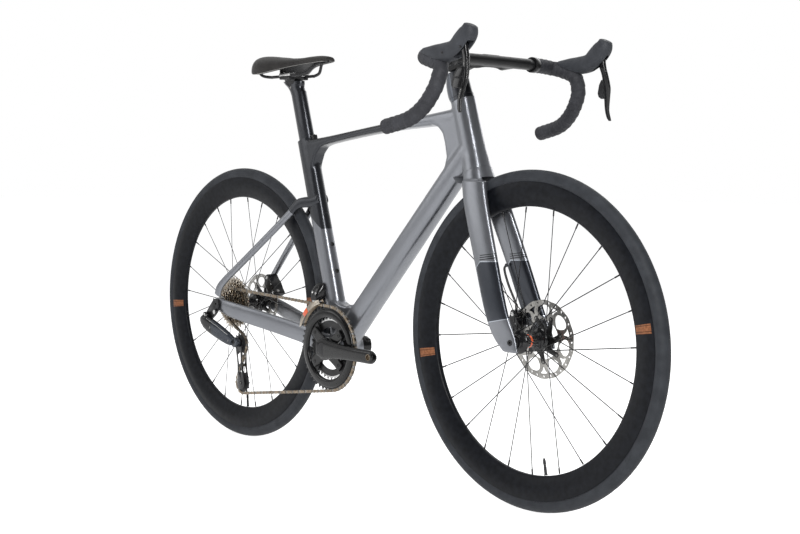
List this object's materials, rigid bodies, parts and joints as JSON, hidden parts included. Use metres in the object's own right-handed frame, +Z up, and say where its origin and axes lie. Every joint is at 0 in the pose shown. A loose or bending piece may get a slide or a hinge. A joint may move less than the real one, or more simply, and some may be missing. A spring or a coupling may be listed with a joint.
{
  "type": "road bike",
  "caption": "Racing bicycle with drop bars, disc brakes, deep carbon rims, a double chainset and electronic derailleurs, shown without pedals.",
  "frame": {"origin": "on the ground, midway between the axles", "axes": "+X forward, +Y to the rider's left, +Z up"},
  "size_m": [1.668, 0.4778, 0.953],
  "materials": {
    "silver_paint": "satin metallic silver paint over carbon fibre",
    "dark_paint": "satin metallic anthracite paint over carbon fibre",
    "matte_carbon": "matt black carbon fibre",
    "gloss_black": "gloss black composite",
    "hood_rubber": "fine-grained rubber",
    "bar_tape": "ribbed foam tape",
    "tyre_rubber": "matt rubber",
    "brushed_steel": "oiled steel",
    "rotor_steel": "ground steel",
    "black_alloy": "black anodised",
    "brake_pad": "sintered lining on a steel back",
    "saddle_cover": "matt synthetic leather"
  },
  "bodies": {
    "frame": {"front_triangle": "silver_paint", "chainstays": "silver_paint", "seatstays": "dark_paint", "seatpost_wedge": "black_alloy", "bottom_bracket_left": "black_alloy", "bottom_bracket_right": "black_alloy", "headset_bearing_lower": "brushed_steel", "headset_bearing_upper": "brushed_steel", "derailleur_hanger": "black_alloy", "rear_derailleur_body": "gloss_black", "rear_derailleur_cage": "black_alloy", "front_derailleur_body": "black_alloy", "front_derailleur_cage": "brushed_steel", "chain": "brushed_steel", "rear_caliper": "black_alloy", "rear_axle": "black_alloy"},
    "steering": {"fork": "silver_paint", "steerer_spacers": "dark_paint", "cockpit": "matte_carbon", "front_axle": "black_alloy", "front_caliper": "black_alloy", "front_hose": "gloss_black", "bar_tape_left": "bar_tape", "bar_tape_right": "bar_tape", "bar_end_plug_left": "gloss_black", "bar_end_plug_right": "gloss_black", "hood_left": "hood_rubber", "hood_right": "hood_rubber"},
    "front_wheel": {"front_tyre": "tyre_rubber", "front_rim": "matte_carbon", "front_hub": "black_alloy", "front_rotor": "rotor_steel", "front_valve": "black_alloy"},
    "rear_wheel": {"rear_tyre": "tyre_rubber", "rear_rim": "matte_carbon", "rear_hub": "black_alloy", "rear_rotor": "rotor_steel", "rear_valve": "black_alloy"},
    "cassette": {"freehub_body": "black_alloy", "cassette": "brushed_steel"},
    "crankset": {"crank_right": "gloss_black", "crank_left": "gloss_black", "chainring_outer": "gloss_black", "chainring_inner": "black_alloy"},
    "guide_pulley": {"guide_pulley": "black_alloy"},
    "tension_pulley": {"tension_pulley": "black_alloy"},
    "seatpost": {"seatpost": "dark_paint"},
    "saddle_clamp": {"saddle_clamp_lower": "black_alloy", "saddle_clamp_upper": "black_alloy"},
    "saddle": {"saddle_rails": "matte_carbon", "saddle_shell": "matte_carbon", "saddle_pad": "saddle_cover"},
    "lever_left": {"brake_lever_left": "gloss_black"},
    "shift_paddle_left": {"shift_paddle_left": "black_alloy"},
    "lever_right": {"brake_lever_right": "gloss_black"},
    "shift_paddle_right": {"shift_paddle_right": "black_alloy"},
    "front_pad_inner": {"front_pad_inner": "brake_pad"},
    "front_pad_outer": {"front_pad_outer": "brake_pad"},
    "rear_pad_inner": {"rear_pad_inner": "brake_pad"},
    "rear_pad_outer": {"rear_pad_outer": "brake_pad"}
  },
  "joints": [
    {"name": "steering", "type": "hinge", "parent": "frame", "child": "steering", "pos_m": [0.45097, 0, 0.32684], "axis": [-0.2924, 0, 0.9563], "range_deg": [-75, 75]},
    {"name": "front_wheel_spin", "type": "hinge", "parent": "steering", "child": "front_wheel", "pos_m": [0.494, 0, 0.34], "axis": [0, 1, 0], "continuous": true},
    {"name": "rear_wheel_spin", "type": "hinge", "parent": "frame", "child": "rear_wheel", "pos_m": [-0.494, 0, 0.34], "axis": [0, 1, 0], "continuous": true},
    {"name": "crank_spin", "type": "hinge", "parent": "frame", "child": "crankset", "pos_m": [-0.08954, 0, 0.267], "axis": [0, 1, 0], "continuous": true},
    {"name": "cassette_spin", "type": "hinge", "parent": "frame", "child": "cassette", "pos_m": [-0.494, 0, 0.34], "axis": [0, 1, 0], "continuous": true},
    {"name": "guide_pulley_spin", "type": "hinge", "parent": "frame", "child": "guide_pulley", "pos_m": [-0.44, -0.0455, 0.242], "axis": [0, 1, 0], "continuous": true},
    {"name": "tension_pulley_spin", "type": "hinge", "parent": "frame", "child": "tension_pulley", "pos_m": [-0.43, -0.0455, 0.146], "axis": [0, 1, 0], "continuous": true},
    {"name": "seatpost_height", "type": "slide", "parent": "frame", "child": "seatpost", "axis": [-0.2899, 0, 0.9571], "range_m": [-0.06, 0.04]},
    {"name": "saddle_tilt", "type": "hinge", "parent": "seatpost", "child": "saddle_clamp", "pos_m": [-0.28997, 0, 0.9005], "axis": [0, 1, 0], "range_deg": [-8, 8]},
    {"name": "saddle_setback", "type": "slide", "parent": "saddle_clamp", "child": "saddle", "axis": [1, 0, 0], "range_m": [-0.025, 0.03]},
    {"name": "brake_lever_left", "type": "hinge", "parent": "steering", "child": "lever_left", "pos_m": [0.49846, 0.198, 0.90599], "axis": [0, 1, 0], "range_deg": [0, 20], "stiffness_Nm_per_rad": 0.6, "springref_deg": -8.59},
    {"name": "shift_paddle_left", "type": "hinge", "parent": "lever_left", "child": "shift_paddle_left", "pos_m": [0.50296, 0.21058, 0.84899], "axis": [0, -0.1445, 0.9895], "range_deg": [0, 5], "stiffness_Nm_per_rad": 0.2, "springref_deg": -5.73},
    {"name": "brake_lever_right", "type": "hinge", "parent": "steering", "child": "lever_right", "pos_m": [0.49846, -0.198, 0.90599], "axis": [0, 1, 0], "range_deg": [0, 20], "stiffness_Nm_per_rad": 0.6, "springref_deg": -8.59},
    {"name": "shift_paddle_right", "type": "hinge", "parent": "lever_right", "child": "shift_paddle_right", "pos_m": [0.50296, -0.21058, 0.84899], "axis": [0, -0.1445, -0.9895], "range_deg": [0, 5], "stiffness_Nm_per_rad": 0.2, "springref_deg": -5.73},
    {"name": "front_pad_inner_slide", "type": "slide", "parent": "steering", "child": "front_pad_inner", "axis": [0, 1, 0], "range_m": [0, 0.0004]},
    {"name": "front_pad_outer_slide", "type": "slide", "parent": "steering", "child": "front_pad_outer", "axis": [0, -1, 0], "range_m": [0, 0.0004]},
    {"name": "rear_pad_inner_slide", "type": "slide", "parent": "frame", "child": "rear_pad_inner", "axis": [0, 1, 0], "range_m": [0, 0.0004]},
    {"name": "rear_pad_outer_slide", "type": "slide", "parent": "frame", "child": "rear_pad_outer", "axis": [0, -1, 0], "range_m": [0, 0.0004]}
  ],
  "couplings": [
    {"joint": "cassette_spin", "follows": "crank_spin", "ratio": 2.5263},
    {"joint": "guide_pulley_spin", "follows": "crank_spin", "ratio": -3.6923},
    {"joint": "tension_pulley_spin", "follows": "crank_spin", "ratio": 3.6923},
    {"joint": "front_pad_inner_slide", "follows": "brake_lever_left", "m_per_rad": 0.001145},
    {"joint": "front_pad_outer_slide", "follows": "brake_lever_left", "m_per_rad": 0.001145},
    {"joint": "rear_pad_inner_slide", "follows": "brake_lever_right", "m_per_rad": 0.001145},
    {"joint": "rear_pad_outer_slide", "follows": "brake_lever_right", "m_per_rad": 0.001145}
  ]
}
